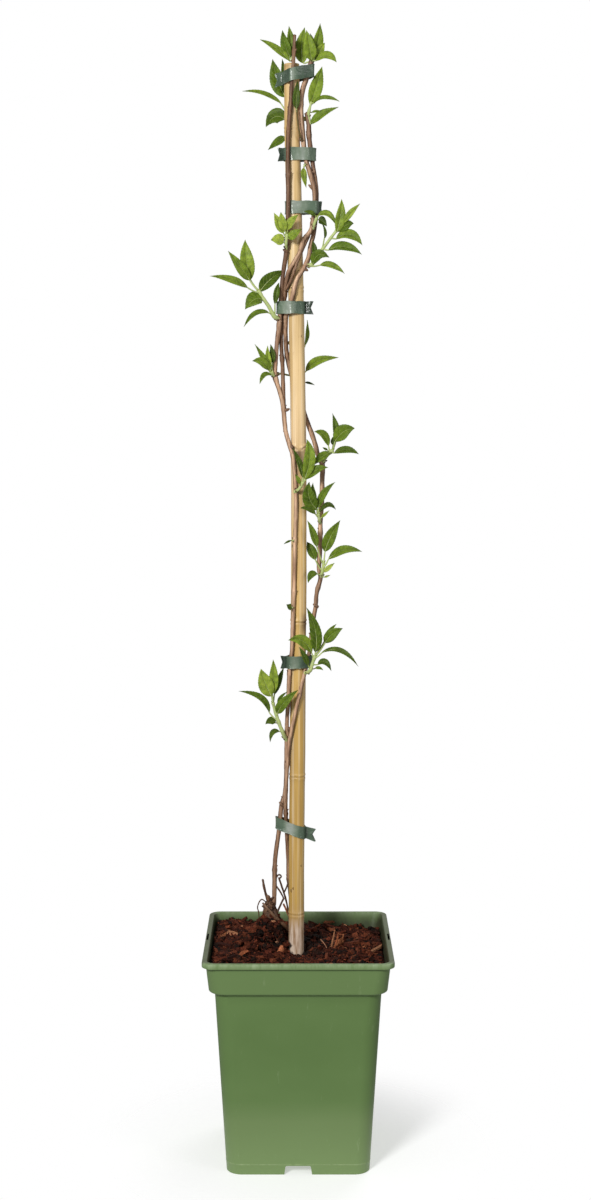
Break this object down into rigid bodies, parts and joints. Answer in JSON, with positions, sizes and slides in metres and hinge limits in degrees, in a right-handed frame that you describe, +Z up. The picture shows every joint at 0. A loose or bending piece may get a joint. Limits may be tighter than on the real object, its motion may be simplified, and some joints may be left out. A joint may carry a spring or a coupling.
{
  "type": "potted hardy kiwi",
  "caption": "Young hardy kiwi vine tied to a bamboo cane in a square green nursery pot, with fresh leafy shoots up its brown stems.",
  "frame": {"origin": "centre of the pot's foot, on the plane it stands on", "axes": "+Z up along the cane, the pot's front faces -Y, +X to the right"},
  "size_m": [0.17, 0.17, 1.0169],
  "materials": {
    "pot": "satin",
    "substrate": "rough",
    "cane": "satin",
    "wood": "rough",
    "tie": "satin",
    "leaf": "satin"
  },
  "bodies": {
    "root": {"pot": "pot", "substrate": "substrate", "cane": "cane", "woody_vine": "wood", "tie_1": "tie", "tie_2": "tie", "tie_3": "tie", "tie_4": "tie", "tie_5": "tie", "tie_6": "tie", "shoot_top": "leaf", "shoot_top_left": "leaf", "shoot_back_left": "leaf", "shoot_back_right": "leaf", "shoot_inner": "leaf", "leaf_hanging": "leaf", "shoot_02": "leaf", "shoot_03": "leaf", "shoot_04": "leaf", "shoot_05": "leaf", "shoot_06": "leaf", "leaf_behind_cane": "leaf", "leaf_beside_cane": "leaf", "shoot_08": "leaf", "shoot_09": "leaf", "shoot_10": "leaf", "shoot_11": "leaf", "shoot_13": "leaf", "shoot_14": "leaf", "leaf_15": "leaf", "leaf_16": "leaf"}
  },
  "joints": []
}
